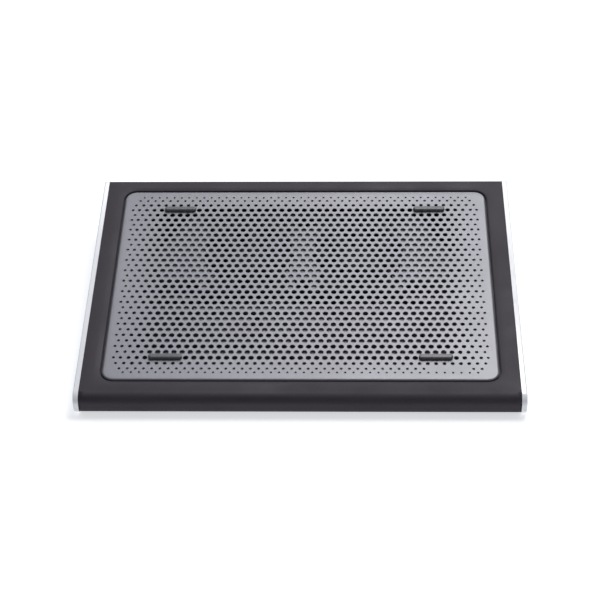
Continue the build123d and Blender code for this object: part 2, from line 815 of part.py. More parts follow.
with BuildPart() as socket_shell:
    with BuildSketch(rear_face.offset(vent_lip / 2)):
        socket_outline(0)
    extrude(amount=-socket_length)
    with BuildSketch(rear_face.offset(vent_lip / 2)):
        socket_outline(socket_gauge)
    extrude(amount=-socket_length, mode=Mode.SUBTRACT)
save(socket_shell, "socket_shell")

with BuildPart() as socket_insert:
    with BuildSketch(rear_face.offset(vent_lip / 2 - socket_length)):
        socket_outline(socket_gauge)
    extrude(amount=socket_back)
    with BuildSketch(rear_face.offset(vent_lip / 2 - socket_length)):
        with Locations((0, -inlet_drop)):
            Rectangle(tongue_width, tongue_gauge)
    extrude(amount=socket_length - 1)
save(socket_insert, "socket_insert")

board_top = -inlet_drop - socket_height / 2
board_y = rear_reach - skin - board_gap - board_depth / 2
with BuildPart() as power_board:
    with BuildSketch(sloping(0, board_y, board_top - board_gauge)):
        Rectangle(board_length, board_depth)
        with Locations((-board_hole_x, -board_hole_y), (board_hole_x, -board_hole_y)):
            Circle(screw_radius + screw_clearance, mode=Mode.SUBTRACT)
    extrude(amount=board_gauge)
save(power_board, "power_board")

with BuildPart() as lead_plugs:
    with BuildSketch(sloping(0, board_y, board_top)):
        with Locations((-lead_x, plug_y), (lead_x, plug_y)):
            Rectangle(plug_width, plug_depth)
    extrude(amount=plug_height)
save(lead_plugs, "lead_plugs")

with BuildPart() as board_parts:
    with BuildSketch(sloping(0, board_y, board_top)):
        with Locations((0, 1)):
            Rectangle(chip_size, chip_size)
    extrude(amount=chip_gauge)
    with BuildSketch(sloping(0, board_y, board_top)):
        with Locations((-can_x, can_y), (can_x, can_y)):
            Circle(can_radius)
    extrude(amount=can_height)
save(board_parts, "board_parts")

with BuildPart() as board_stand:
    with BuildSketch(Plane.XY.offset(floor_top)):
        with Locations((0, deck_point(0, board_y, board_top).Y - board_hole_y)):
            Rectangle(board_length, stand_depth)
    extrude(amount=deck_height)
    with BuildSketch(sloping(0, board_y, board_top - board_gauge)):
        Rectangle(2 * board_length, 4 * board_depth)
    extrude(amount=deck_height, mode=Mode.SUBTRACT)
    with BuildSketch(Plane.XY.offset(floor_top)):
        with Locations((0, deck_point(0, board_y, board_top).Y - board_hole_y)):
            Rectangle(2 * board_hole_x - 2 * boss_radius, stand_depth + 1)
    extrude(amount=stand_gap, mode=Mode.SUBTRACT)
    for x in (-board_hole_x, board_hole_x):
        with BuildSketch(sloping(x, board_y - board_hole_y, board_top)):
            Circle(screw_radius)
        extrude(amount=-board_screw_shank, mode=Mode.SUBTRACT)
save(board_stand, "board_stand")

board_heads = [sloping(sx * board_hole_x, board_y - board_hole_y, board_top) for sx in (-1, 1)]
screw_set("board_screws", board_heads, board_screw_shank, board_screw_head)

# Fan leads: from the plugs on the board round to the gland on each fan frame.
plug_front = board_y + plug_y - plug_depth / 2
lead_rise = board_top + plug_height / 2
gland_y = fan_y + gland_reach
gland_z = tray_bottom - fan_depth / 2
lead_route = (
    (lead_x, plug_front, lead_rise),
    (lead_x, plug_front - lead_start, lead_rise),
    (lead_x + 7, plug_front - 16, lead_rise + 2.2),
    (lead_x + 17, plug_front - 18, lead_rise + 6.2),
    (lead_x + 28, plug_front - 17, lead_rise + 10.2),
    (fan_x - 9, gland_y + 13.5, gland_z - 1.2),
    (fan_x - 1.8, gland_y + 9.5, gland_z - 0.2),
    (fan_x, gland_y, gland_z),
)


def bend_radii(points):
    """The largest arc at each corner that leaves a little of both runs straight."""
    radii = []
    for before, corner, after in zip(points, points[1:], points[2:]):
        back = before - corner
        ahead = after - corner
        half_turn = radians(180 - back.get_angle(ahead)) / 2
        radii.append(0.45 * min(back.length, ahead.length) / tan(half_turn))
    return radii


for side_name, side in sides.items():
    route = [deck_point(side * x, y, z) for x, y, z in lead_route]
    radii = bend_radii(route)
    print(f"lead {side_name}: radii", [round(radius, 1) for radius in radii])
    with BuildPart() as lead:
        with BuildLine() as path:
            FilletPolyline(*route, radius=radii)
        with BuildSketch(Plane(origin=path.line @ 0, z_dir=path.line % 0)):
            Circle(lead_radius)
        sweep(path=path.line)
    length = sum(edge.length for edge in path.edges())
    print(f"lead {side_name}: length {length:.1f}, volume {lead.part.volume:.1f}")
    save(lead, f"fan_lead_{side_name}")

with BuildPart() as mesh_plate:
    with BuildSketch(deck.offset(-plate_rim)):
        RectangleRounded(plate_length, plate_depth, plate_corner)
    extrude(amount=plate_rim)
    top_face = mesh_plate.faces().filter_by(lambda f: f.normal_at().dot(deck.z_dir) > 0.999)
    fillet(top_face.edges(), plate_roll)
    with BuildSketch(deck.offset(-plate_rim)):
        inner = 2 * plate_gauge
        RectangleRounded(plate_length - inner, plate_depth - inner, plate_corner - plate_gauge)
    extrude(amount=plate_rim - plate_gauge, mode=Mode.SUBTRACT)
    with BuildSketch(deck.offset(-plate_rim)):
        for diameter, points in plate_holes().items():
            with Locations(*points):
                Circle(diameter / 2)
        for x, y in stop_places:
            with Locations((x - stop_peg_spread / 2, y), (x + stop_peg_spread / 2, y)):
                Circle(stop_peg_radius + running_gap)
    extrude(amount=plate_rim + 1, mode=Mode.SUBTRACT)
save(mesh_plate, "mesh_plate")
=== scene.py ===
import json
import math

import bmesh
import bpy
from mathutils import Matrix, Vector


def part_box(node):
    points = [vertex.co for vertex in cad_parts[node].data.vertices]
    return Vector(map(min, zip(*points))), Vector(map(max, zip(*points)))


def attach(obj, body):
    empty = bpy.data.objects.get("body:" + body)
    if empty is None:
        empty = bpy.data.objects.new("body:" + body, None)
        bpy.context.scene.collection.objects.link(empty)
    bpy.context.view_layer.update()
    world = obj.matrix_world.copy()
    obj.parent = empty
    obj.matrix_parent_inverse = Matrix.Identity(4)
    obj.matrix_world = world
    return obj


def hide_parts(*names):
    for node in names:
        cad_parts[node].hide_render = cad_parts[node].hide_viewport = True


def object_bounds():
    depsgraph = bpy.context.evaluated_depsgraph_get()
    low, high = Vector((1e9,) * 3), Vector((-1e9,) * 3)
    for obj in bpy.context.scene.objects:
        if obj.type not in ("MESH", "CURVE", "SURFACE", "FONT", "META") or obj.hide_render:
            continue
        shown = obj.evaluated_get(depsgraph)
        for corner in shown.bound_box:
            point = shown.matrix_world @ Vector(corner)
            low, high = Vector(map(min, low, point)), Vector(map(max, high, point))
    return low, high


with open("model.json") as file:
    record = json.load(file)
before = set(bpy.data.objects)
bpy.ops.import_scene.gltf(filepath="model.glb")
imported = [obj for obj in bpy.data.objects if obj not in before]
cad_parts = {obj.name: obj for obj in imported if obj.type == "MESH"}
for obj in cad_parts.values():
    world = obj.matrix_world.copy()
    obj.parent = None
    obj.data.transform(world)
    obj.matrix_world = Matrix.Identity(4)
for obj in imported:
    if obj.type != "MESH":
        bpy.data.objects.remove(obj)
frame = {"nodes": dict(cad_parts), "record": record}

# Looks for a laptop cooling mat: a perforated metal plate in a soft black wedge with white end
# caps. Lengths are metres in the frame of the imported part. Points on the sloping deck are given as
# (x, y, z) from the middle of the plate's surface: y towards the back, z out of the plate.

MM = 0.001
cad_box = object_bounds()
spins = {joint["name"]: joint for joint in frame["record"]["behaviour"]["joints"]}
fan_left = Vector(spins["fan_left_spin"]["pos_m"])
fan_right = Vector(spins["fan_right_spin"]["pos_m"])
DECK_UP = Vector(spins["fan_left_spin"]["axis"]).normalized()
DECK_BACK = Vector((0, DECK_UP.z, -DECK_UP.y))
FAN_Y = 38 * MM
FAN_TOP = -5 * MM
DECK_ORIGIN = (fan_left + fan_right) / 2 - DECK_BACK * FAN_Y - DECK_UP * FAN_TOP

PLATE_X = 177 * MM
PLATE_Y = 125 * MM
PLATE_CORNER = 11 * MM


def deck_point(x, y, z=0.0):
    """World point of a point given on the deck."""
    return DECK_ORIGIN + Vector((x, 0, 0)) + DECK_BACK * y + DECK_UP * z


# ---------------------------------------------------------------- camera


def add_camera():
    """A long lens a little to the right of the middle, looking down at about 38 degrees."""
    elevation = math.radians(37.9)
    azimuth = math.radians(-2.15)
    roll = math.radians(-1.3)
    distance = 1.5585
    aim = Vector((-1.7, -25.9, 35.9)) * MM
    forward = Vector((
        math.sin(azimuth) * math.cos(elevation),
        math.cos(azimuth) * math.cos(elevation),
        -math.sin(elevation),
    ))
    camera = bpy.data.objects.new("camera", bpy.data.cameras.new("camera"))
    camera.data.lens = 101.0
    camera.data.sensor_width = 36.0
    camera.data.clip_end = 20.0
    camera.location = aim - forward * distance
    level = forward.to_track_quat("-Z", "Y").to_matrix().to_4x4()
    camera.rotation_euler = (level @ Matrix.Rotation(roll, 4, "Z")).to_euler()
    bpy.context.collection.objects.link(camera)
    bpy.context.scene.camera = camera


add_camera()

# ---------------------------------------------------------------- materials


class Shader:
    """A material under construction: short calls that add and join nodes."""

    def __init__(self, name, **settings):
        self.material = bpy.data.materials.new(name)
        self.material.use_nodes = True
        self.tree = self.material.node_tree
        self.surface = self.tree.nodes["Principled BSDF"]
        for socket, value in settings.items():
            self.surface.inputs[socket.replace("_", " ")].default_value = value
        self.place = self.add("ShaderNodeTexCoord").outputs["Object"]

    def add(self, kind, **settings):
        """A new node with its properties set."""
        node = self.tree.nodes.new(kind)
        for key, value in settings.items():
            setattr(node, key, value)
        return node

    def join(self, source, target):
        """A link from an output to an input."""
        self.tree.links.new(source, target)

    def stretched(self, scale):
        """Object coordinates scaled by three factors."""
        mapping = self.add("ShaderNodeMapping")
        mapping.inputs["Scale"].default_value = scale
        self.join(self.place, mapping.inputs["Vector"])
        return mapping.outputs["Vector"]

    def noise(self, scale, detail=3.0, rough=0.5, place=None):
        """Fractal noise as a value about one half."""
        node = self.add("ShaderNodeTexNoise")
        node.inputs["Scale"].default_value = scale
        node.inputs["Detail"].default_value = detail
        node.inputs["Roughness"].default_value = rough
        self.join(place or self.place, node.inputs["Vector"])
        return node.outputs["Fac"]

    def wave(self, scale, axis="X", distortion=0.0, place=None):
        """Sine bands across one axis."""
        node = self.add("ShaderNodeTexWave", wave_type="BANDS", bands_direction=axis)
        node.inputs["Scale"].default_value = scale
        node.inputs["Distortion"].default_value = distortion
        self.join(place or self.place, node.inputs["Vector"])
        return node.outputs["Fac"]

    def cells(self, scale, place=None):
        """Distance to the nearest random point."""
        node = self.add("ShaderNodeTexVoronoi")
        node.inputs["Scale"].default_value = scale
        self.join(place or self.place, node.inputs["Vector"])
        return node.outputs["Distance"]

    def ramp(self, value, low, high, start=0.3, end=0.7):
        """A value spread between two colours."""
        node = self.add("ShaderNodeValToRGB")
        first, last = node.color_ramp.elements
        first.position, last.position = start, end
        first.color = (*low, 1.0)
        last.color = (*high, 1.0)
        self.join(value, node.inputs["Fac"])
        return node.outputs["Color"]

    def spread(self, value, low, high, start=0.0, end=1.0):
        """A value mapped to a range."""
        node = self.add("ShaderNodeMapRange")
        for socket, number in (("From Min", start), ("From Max", end), ("To Min", low), ("To Max", high)):
            node.inputs[socket].default_value = number
        self.join(value, node.inputs["Value"])
        return node.outputs["Result"]

    def maths(self, operation, first, second):
        """Arithmetic on two values, the second a socket or a number."""
        node = self.add("ShaderNodeMath", operation=operation)
        self.join(first, node.inputs[0])
        if isinstance(second, (int, float)):
            node.inputs[1].default_value = second
        else:
            self.join(second, node.inputs[1])
        return node.outputs[0]

    def mix(self, share, first, second):
        """Two colours mixed by a value."""
        node = self.add("ShaderNodeMix", data_type="RGBA")
        self.join(share, node.inputs["Factor"])
        for socket, colour in ((node.inputs[6], first), (node.inputs[7], second)):
            if isinstance(colour, tuple):
                socket.default_value = (*colour, 1.0)
            else:
                self.join(colour, socket)
        return node.outputs[2]

    def colour(self, socket):
        """The base colour."""
        self.join(socket, self.surface.inputs["Base Color"])

    def roughness(self, socket):
        """The roughness."""
        self.join(socket, self.surface.inputs["Roughness"])

    def bump(self, *layers):
        """Layers of height, each with its strength and its depth in metres."""
        normal = None
        for height, strength, depth in layers:
            node = self.add("ShaderNodeBump")
            node.inputs["Strength"].default_value = strength
            node.inputs["Distance"].default_value = depth
            self.join(height, node.inputs["Height"])
            if normal:
                self.join(normal, node.inputs["Normal"])
            normal = node.outputs["Normal"]
        self.join(normal, self.surface.inputs["Normal"])


def plate_metal():
    """Satin-coated grey aluminium with a faint rolling grain and handling marks."""
    shader = Shader("plate_metal", Metallic=0.55, Roughness=0.48)
    cloud = shader.noise(6.0, 4.0)
    grain = shader.noise(900.0, 2.0, place=shader.stretched((0.15, 1.0, 1.0)))
    speck = shader.noise(2600.0, 2.0)
    base = shader.ramp(cloud, (0.200, 0.206, 0.232), (0.234, 0.234, 0.251))
    shader.colour(shader.mix(shader.spread(speck, 0.0, 0.35, 0.35, 0.7), base, (0.31, 0.312, 0.33)))
    shader.roughness(shader.spread(shader.noise(25.0, 5.0), 0.44, 0.55))
    shader.bump((grain, 0.10, 0.00005), (speck, 0.25, 0.00005))
    return shader.material


def soft_skin():
    """Charcoal soft-touch skin: a fine leathery grain with duller, paler rubbed patches."""
    shader = Shader("cover_soft", Roughness=0.62)
    shader.surface.inputs["Specular IOR Level"].default_value = 0.4
    shader.surface.inputs["Sheen Weight"].default_value = 0.08
    shader.surface.inputs["Sheen Roughness"].default_value = 0.4
    grain = shader.cells(1500.0)
    fine = shader.noise(3200.0, 2.0)
    cloud = shader.noise(18.0, 5.0, 0.6)
    base = shader.ramp(cloud, (0.0175, 0.013, 0.0205), (0.029, 0.022, 0.032))
    shader.colour(shader.mix(shader.spread(grain, 0.0, 0.5), base, (0.046, 0.037, 0.050)))
    shader.roughness(shader.spread(cloud, 0.55, 0.72, 0.3, 0.7))
    shader.bump((grain, 0.35, 0.00010), (fine, 0.3, 0.00005))
    return shader.material


def knit(name, dark, light, scale=1400.0):
    """Black knitted cloth on foam: fine ribs both ways."""
    shader = Shader(name, Roughness=0.88)
    shader.surface.inputs["Sheen Weight"].default_value = 0.5
    warp = shader.wave(scale, "X", 0.6)
    weft = shader.wave(scale * 0.8, "Y", 0.6)
    weave = shader.maths("MULTIPLY", warp, weft)
    cloud = shader.noise(40.0, 4.0)
    shader.colour(shader.mix(weave, shader.ramp(cloud, dark, light), light))
    shader.roughness(shader.spread(cloud, 0.8, 0.95))
    shader.bump((weave, 0.6, 0.00015), (cloud, 0.2, 0.0006))
    return shader.material


def moulded(name, low, high, rough=(0.45, 0.6), grain=1100.0, depth=0.00006):
    """Moulded plastic with a spark-eroded grain."""
    shader = Shader(name, Roughness=rough[0])
    cloud = shader.noise(30.0, 4.0)
    spark = shader.noise(grain, 3.0, 0.6)
    shader.colour(shader.mix(shader.spread(spark, 0.0, 0.4), shader.ramp(cloud, low, high), high))
    shader.roughness(shader.spread(cloud, rough[0], rough[1], 0.3, 0.7))
    shader.bump((spark, 0.35, depth))
    return shader.material


def gloss_cap():
    """Glossy pearl white with faint moulding ripple and fine wiping marks."""
    shader = Shader("cap_plastic", Roughness=0.16)
    shader.surface.inputs["Coat Weight"].default_value = 0.6
    shader.surface.inputs["Coat Roughness"].default_value = 0.08
    shader.surface.inputs["Subsurface Weight"].default_value = 0.05
    ripple = shader.noise(35.0, 2.0)
    scratch = shader.noise(500.0, 3.0, place=shader.stretched((1.0, 0.05, 1.0)))
    shader.colour(shader.ramp(shader.noise(12.0, 3.0), (0.89, 0.90, 0.93), (0.94, 0.945, 0.96)))
    shader.roughness(shader.spread(scratch, 0.12, 0.26, 0.35, 0.7))
    shader.bump((ripple, 0.12, 0.0008), (scratch, 0.05, 0.00003))
    return shader.material


def rubber(name, low, high, rough=0.7):
    """Matte rubber with dusty speckle."""
    shader = Shader(name, Roughness=rough)
    dust = shader.noise(700.0, 5.0, 0.7)
    shader.colour(shader.ramp(dust, low, high, 0.35, 0.75))
    shader.roughness(shader.spread(dust, rough - 0.1, rough + 0.15))
    shader.bump((dust, 0.4, 0.00008))
    return shader.material


def metal(name, low, high, rough=(0.25, 0.4), lines=(1.0, 1.0, 0.1)):
    """Turned, drawn or stamped metal with fine tool lines."""
    shader = Shader(name, Metallic=1.0, Roughness=rough[0])
    marks = shader.noise(1800.0, 3.0, place=shader.stretched(lines))
    stain = shader.noise(120.0, 4.0)
    shader.colour(shader.ramp(stain, low, high))
    shader.roughness(shader.spread(marks, rough[0], rough[1]))
    shader.bump((marks, 0.2, 0.00004))
    return shader.material


def circuit_board():
    """Green lacquer over copper tracks."""
    shader = Shader("board_green", Roughness=0.3)
    shader.surface.inputs["Coat Weight"].default_value = 0.5
    tracks = shader.add("ShaderNodeTexBrick")
    tracks.inputs["Scale"].default_value = 420.0
    tracks.inputs["Mortar Size"].default_value = 0.03
    shader.join(shader.place, tracks.inputs["Vector"])
    shader.colour(shader.mix(tracks.outputs["Fac"], (0.015, 0.13, 0.05), (0.05, 0.26, 0.10)))
    shader.roughness(shader.spread(shader.noise(300.0), 0.22, 0.4))
    shader.bump((tracks.outputs["Fac"], 0.3, 0.00004))
    return shader.material


def windings():
    """Enamelled copper wire wound in close turns."""
    shader = Shader("coil_copper", Metallic=1.0, Roughness=0.3)
    turns = shader.wave(1900.0, "X", 1.5)
    shader.colour(shader.ramp(turns, (0.42, 0.15, 0.05), (0.80, 0.38, 0.18), 0.1, 0.9))
    shader.roughness(shader.spread(turns, 0.45, 0.22))
    shader.bump((turns, 0.8, 0.0001))
    return shader.material


MATERIALS = {
    "plate_metal": plate_metal(),
    "cover_soft": soft_skin(),
    "pad_foam": knit("pad_foam", (0.016, 0.016, 0.018), (0.040, 0.040, 0.044)),
    "cap_plastic": gloss_cap(),
    "tray_plastic": moulded("tray_plastic", (0.17, 0.17, 0.19), (0.22, 0.22, 0.24), (0.3, 0.45)),
    "shell_plastic": moulded("shell_plastic", (0.020, 0.020, 0.022), (0.038, 0.038, 0.040)),
    "fan_plastic": moulded("fan_plastic", (0.005, 0.005, 0.006), (0.011, 0.011, 0.012), (0.6, 0.75)),
    "insert_black": moulded("insert_black", (0.012, 0.012, 0.012), (0.025, 0.025, 0.025)),
    "plug_white": moulded("plug_white", (0.66, 0.63, 0.55), (0.78, 0.75, 0.68)),
    "magnet_ferrite": moulded("magnet_ferrite", (0.03, 0.028, 0.026), (0.07, 0.06, 0.055), (0.6, 0.8)),
    "grip_rubber": rubber("grip_rubber", (0.012, 0.012, 0.013), (0.035, 0.035, 0.037), 0.75),
    "stop_rubber": rubber("stop_rubber", (0.085, 0.088, 0.095), (0.15, 0.152, 0.16), 0.36),
    "lead_sleeve": rubber("lead_sleeve", (0.010, 0.010, 0.010), (0.028, 0.028, 0.028), 0.5),
    "bearing_brass": metal("bearing_brass", (0.52, 0.38, 0.16), (0.68, 0.52, 0.26)),
    "core_steel": metal("core_steel", (0.45, 0.45, 0.47), (0.62, 0.62, 0.64)),
    "screw_steel": metal("screw_steel", (0.06, 0.06, 0.065), (0.13, 0.13, 0.14), (0.3, 0.5)),
    "socket_metal": metal("socket_metal", (0.62, 0.62, 0.64), (0.80, 0.80, 0.82), (0.12, 0.28)),
    "board_green": circuit_board(),
    "coil_copper": windings(),
}


def dress_cad_nodes():
    """Give each CAD node the material of its slot."""
    for entry in frame["record"]["subparts"]:
        node = frame["nodes"][entry["node"]]
        material = MATERIALS[entry["material_slot"]]
        if not node.data.materials:
            node.data.materials.append(material)
        for slot in node.material_slots:
            slot.material = material


dress_cad_nodes()

# ---------------------------------------------------------------- helpers


def add_mesh(name, points, faces, material, body="mat"):
    """A mesh object that rides on a body."""
    mesh = bpy.data.meshes.new(name)
    mesh.from_pydata([tuple(point) for point in points], [], faces)
    mesh.validate()
    mesh.materials.append(MATERIALS[material])
    piece = bpy.data.objects.new(name, mesh)
    bpy.context.collection.objects.link(piece)
    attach(piece, body)
    return piece


def tidy_normals(piece, smooth_angle=40.0):
    """Merge doubled points, turn all faces outward and smooth the gentle edges."""
    work = bmesh.new()
    work.from_mesh(piece.data)
    bmesh.ops.remove_doubles(work, verts=work.verts, dist=1e-6)
    bmesh.ops.recalc_face_normals(work, faces=work.faces)
    limit = math.radians(smooth_angle)
    for face in work.faces:
        face.smooth = True
    for edge in work.edges:
        if len(edge.link_faces) == 2:
            edge.smooth = edge.calc_face_angle(0.0) < limit
    work.to_mesh(piece.data)
    work.free()


# ---------------------------------------------------------------- perforated plate

HOLE_PITCH = 7.35 * MM
ROW_PITCH = 7.0 * MM
FULL_HOLE = 5.0 * MM
END_HOLE = 2.6 * MM
HOLE_GROWTH = 0.48 * MM
LAST_ROW = 17
LAST_EVEN_ROW = 14
EDGE_ROWS = {15: (104.9, 46, 3.5), 16: (111.3, 45, 2.5), 17: (115.9, 44, 2.0)}
END_PULL = 0.0065
BLANK_ROW = -16
BLANK_FROM, BLANK_TO = 115 * MM, 150 * MM
STOP_X, STOP_LENGTH = 121.3 * MM, 30.5 * MM
CELL_STEPS = 6
HALF_CELLS = 47


def row_layout(row):
    """Place, number of holes and widest hole of a row counted from the middle."""
    if abs(row) in EDGE_ROWS:
        y, count, widest = EDGE_ROWS[abs(row)]
        return math.copysign(y, row) * MM, count, widest * MM
    return row * ROW_PITCH, (47 if row % 2 == 0 else 46), FULL_HOLE


def row_holes(row):
    """The holes of a row: the cell that each sits in, its place and its radius."""
    y, count, widest = row_layout(row)
    holes = []
    for index in range(count):
        middle = (index - (count - 1) / 2) * HOLE_PITCH
        from_end = min(index, count - 1 - index)
        x = middle * (1 - END_PULL) if from_end == 0 and count == 47 else middle
        under_stop = abs(row) == LAST_EVEN_ROW and abs(abs(x) - STOP_X) < STOP_LENGTH / 2
        if under_stop or (row == BLANK_ROW and BLANK_FROM < x < BLANK_TO):
            continue
        radius = min(widest, END_HOLE + HOLE_GROWTH * from_end) / 2
        first_column = round((middle / HOLE_PITCH - 0.5) * CELL_STEPS + HALF_CELLS * CELL_STEPS / 2)
        holes.append((first_column, x, radius))
    return holes


def plate_dish(x, y):
    """How far the thin plate sags between its rims."""
    sag = 1.2 * MM
    across = min(abs(x) / (PLATE_X - 5 * MM), 1.0)
    along = min(abs(y) / (PLATE_Y - 7 * MM), 1.0)
    return sag * (1 - across ** 4) * (1 - along ** 2)


def ring_of_cell(column, line):
    """Grid places round one cell, counter-clockwise from its lower left corner."""
    steps = range(CELL_STEPS)
    return (
        [(column + step, line) for step in steps]
        + [(column + CELL_STEPS, line + step) for step in steps]
        + [(column + CELL_STEPS - step, line + CELL_STEPS) for step in steps]
        + [(column, line + CELL_STEPS - step) for step in steps]
    )


def rounded_edge(point, core_x, core_y):
    """Nearest point of the core rectangle and the direction outward from it."""
    core = (max(-core_x, min(core_x, point[0])), max(-core_y, min(core_y, point[1])))
    away = Vector((point[0] - core[0], point[1] - core[1]))
    return core, away.normalized()


def build_plate():
    """Dished sheet with all its holes, each with a rounded lip, and a rim rolled down."""
    gauge, rim_depth, roll, lip = 1.2 * MM, 3.0 * MM, 2.0 * MM, 0.07 * MM
    roll_steps = 8
    columns = HALF_CELLS * CELL_STEPS
    rows = range(-LAST_ROW, LAST_ROW + 1)
    centres = [row_layout(row)[0] for row in rows]
    outer = centres[-1] + 2.3 * MM
    borders = [-outer] + [(low + high) / 2 for low, high in zip(centres, centres[1:])] + [outer]
    heights = []
    for low, high in zip(borders, borders[1:]):
        heights += [low + (high - low) * step / CELL_STEPS for step in range(CELL_STEPS)]
    heights.append(outer)
    step_x = HOLE_PITCH / CELL_STEPS
    left = -HALF_CELLS * HOLE_PITCH / 2
    points, faces, top, under = [], [], {}, {}

    def put(x, y, z):
        points.append(deck_point(x, y, z - plate_dish(x, y)))
        return len(points) - 1

    def grid(place):
        if place not in top:
            x, y = left + place[0] * step_x, heights[place[1]]
            top[place] = put(x, y, 0)
            under[place] = put(x, y, -gauge)
        return top[place], under[place]

    turns = [math.radians(225 + 360 * index / (4 * CELL_STEPS)) for index in range(4 * CELL_STEPS)]
    for number, row in enumerate(rows):
        line = number * CELL_STEPS
        y = centres[number]
        holes = row_holes(row)
        taken = {column + step for column, _, _ in holes for step in range(CELL_STEPS)}
        for column in range(columns):
            if column in taken:
                continue
            for step in range(CELL_STEPS):
                corners = [(column, line + step), (column + 1, line + step),
                           (column + 1, line + step + 1), (column, line + step + 1)]
                upper, lower = zip(*[grid(corner) for corner in corners])
                faces += [upper, lower[::-1]]
        for column, x, radius in holes:
            edge = [grid(place) for place in ring_of_cell(column, line)]
            rings = [[pair[0] for pair in edge]]
            for spread, z in ((lip, 0), (lip * 0.3, -lip * 0.3), (0, -lip), (0, -gauge)):
                size = radius + spread
                rings.append([
                    put(x + size * math.cos(turn), y + size * math.sin(turn), z) for turn in turns
                ])
            rings.append([pair[1] for pair in edge])
            faces += bridged(rings)
    last_column, last_line = columns, len(heights) - 1
    border = (
        [(column, 0) for column in range(last_column)]
        + [(last_column, line) for line in range(last_line)]
        + [(last_column - column, last_line) for column in range(last_column)]
        + [(0, last_line - line) for line in range(last_line)]
    )
    edge = [grid(place) for place in border]
    spots = [(left + column * step_x, heights[line]) for column, line in border]
    section = [(-roll, 0)]
    section += [(-roll + roll * math.sin(turn), -roll + roll * math.cos(turn))
                for turn in (math.pi / 2 * step / roll_steps for step in range(1, roll_steps + 1))]
    inner_rise, inner_run = 0.6 * MM, 1.2 * MM
    section += [
        (0, -rim_depth),
        (-gauge, -rim_depth),
        (-gauge, -gauge - inner_rise),
        (-gauge - inner_run, -gauge),
    ]
    rings = [[pair[0] for pair in edge][::-1]]
    for out, z in section:
        ring = []
        for spot in spots:
            core, away = rounded_edge(spot, PLATE_X - PLATE_CORNER, PLATE_Y - PLATE_CORNER)
            reach = PLATE_CORNER + out
            ring.append(put_flat(points, core[0] + away.x * reach, core[1] + away.y * reach, z))
        rings.append(ring[::-1])
    rings.append([pair[1] for pair in edge][::-1])
    faces += bridged(rings)
    plate = add_mesh("perforated_plate", points, faces, "plate_metal")
    tidy_normals(plate, 15)
    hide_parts("mesh_plate")


def put_flat(points, x, y, z):
    """Add a deck point without any sag and return its number."""
    points.append(deck_point(x, y, z))
    return len(points) - 1


def bridged(rings):
    """Four-sided faces between closed rings that follow each other."""
    faces = []
    for inner, outer in zip(rings, rings[1:]):
        count = len(inner)
        faces += [
            (inner[index], inner[(index + 1) % count], outer[(index + 1) % count], outer[index])
            for index in range(count)
        ]
    return faces


build_plate()

# ---------------------------------------------------------------- soft cover

DECK_FRONT, DECK_REAR = -147 * MM, 141 * MM
NOSE, TOE, HEEL, CREST = 9 * MM, 6 * MM, 4 * MM, 2 * MM
GROUND_GAP = 1.5 * MM
PAD_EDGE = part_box("base_pad")[1].y + 0.1 * MM
VENT_X, VENT_HALF, VENT_DROP, VENT_RISE = 92 * MM, 55 * MM, 27 * MM, 8 * MM
INLET_HALF, INLET_RISE = 7.5 * MM, 5 * MM


def corner_arc(before, corner, after, radius, steps):
    """Points of a rounded corner between two straight runs in a plane."""
    back = (before - corner).normalized()
    ahead = (after - corner).normalized()
    half = back.angle(ahead) / 2
    centre = corner + (back + ahead).normalized() * radius / math.sin(half)
    start = corner + back * radius / math.tan(half) - centre
    end = corner + ahead * radius / math.tan(half) - centre
    sweep = start.angle_signed(end)
    arc = []
    for step in range(steps + 1):
        turn = -sweep * step / steps
        arc.append(centre + Vector((
            start.x * math.cos(turn) - start.y * math.sin(turn),
            start.x * math.sin(turn) + start.y * math.cos(turn),
        )))
    return arc


def side_corner(x_on_deck):
    """A deck height line's corner as a (y, z) pair."""
    point = deck_point(0, x_on_deck)
    return Vector((point.y, point.z))


def even_runs(start, end, cuts):
    """Points along a straight run at the given shares of its length."""
    return [start + (end - start) * cut for cut in cuts]


def cover_columns():
    """Places across the mat, with lines at the edges of the openings in the back."""
    places = {round(-195 + 5 * step, 3) for step in range(79)}
    for cut in (37.0, 147.0, 7.5):
        places |= {cut, -cut}
    return [place * MM for place in sorted(places)]


def front_section():
    """Side section from the deck over the nose, down the front and under to the pad."""
    lip, foot = side_corner(DECK_FRONT), Vector((side_corner(DECK_FRONT).x, GROUND_GAP))
    hinge = side_corner(0)
    inner = Vector((-PAD_EDGE, GROUND_GAP))
    nose = corner_arc(hinge, lip, foot, NOSE, 10)
    toe = corner_arc(lip, foot, inner, TOE, 8)
    return nose + even_runs(nose[-1], toe[0], (0.33, 0.67)) + toe + [inner]


def back_section():
    """Side section from the deck over the crest, down the back and under to the pad."""
    crest = side_corner(DECK_REAR)
    drop = (crest.y - GROUND_GAP) / DECK_UP.z
    heel = crest + Vector((-DECK_UP.y, -DECK_UP.z)) * drop
    inner = Vector((PAD_EDGE, GROUND_GAP))
    top = corner_arc(side_corner(0), crest, heel, CREST, 6)
    bottom = corner_arc(crest, heel, inner, HEEL, 8)
    levels = sorted([8 * MM, 14 * MM, 40 * MM, 46 * MM, VENT_DROP, VENT_DROP - VENT_RISE,
                     VENT_DROP + VENT_RISE, VENT_DROP - INLET_RISE, VENT_DROP + INLET_RISE])
    down = (heel - crest).normalized()
    return top + [crest + down * level for level in levels] + bottom + [inner]


def is_opening(x, y, z):
    """Whether a spot of the back lies in one of its three openings."""
    depth = -(Vector((x, y, z)) - DECK_ORIGIN).dot(DECK_UP)
    if y < 0:
        return False
    vent = abs(abs(x) - VENT_X) < VENT_HALF and abs(depth - VENT_DROP) < VENT_RISE
    inlet = abs(x) < INLET_HALF and abs(depth - VENT_DROP) < INLET_RISE
    return vent or inlet


